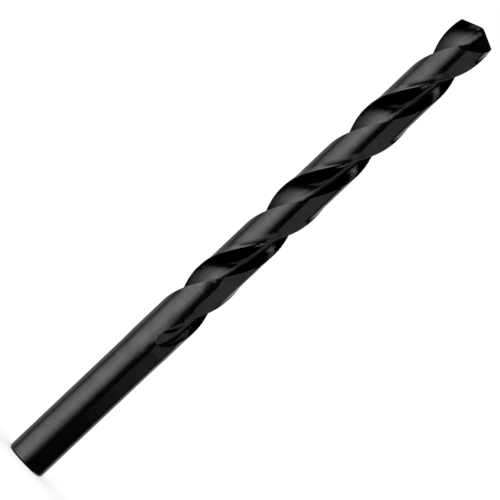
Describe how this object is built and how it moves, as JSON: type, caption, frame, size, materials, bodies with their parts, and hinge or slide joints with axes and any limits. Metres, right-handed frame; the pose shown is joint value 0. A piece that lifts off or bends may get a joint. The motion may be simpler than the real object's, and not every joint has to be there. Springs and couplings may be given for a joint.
{
  "type": "twist drill bit",
  "caption": "Jobber-length metal-cutting drill bit: plain round shank, right-hand spiral flutes with narrow margins, and a split point.",
  "frame": {"origin": "centre of the shank's flat end face", "axes": "+Z along the drill's axis from the shank's end to the point; +X and +Y are square to it, with the two main cutting lips parallel to X"},
  "size_m": [0.0088, 0.0088, 0.1207],
  "materials": {
    "black_oxide_steel": "black oxide over a fine ground surface, satin sheen"
  },
  "bodies": {
    "root": {"twist_drill": "black_oxide_steel"}
  },
  "joints": []
}
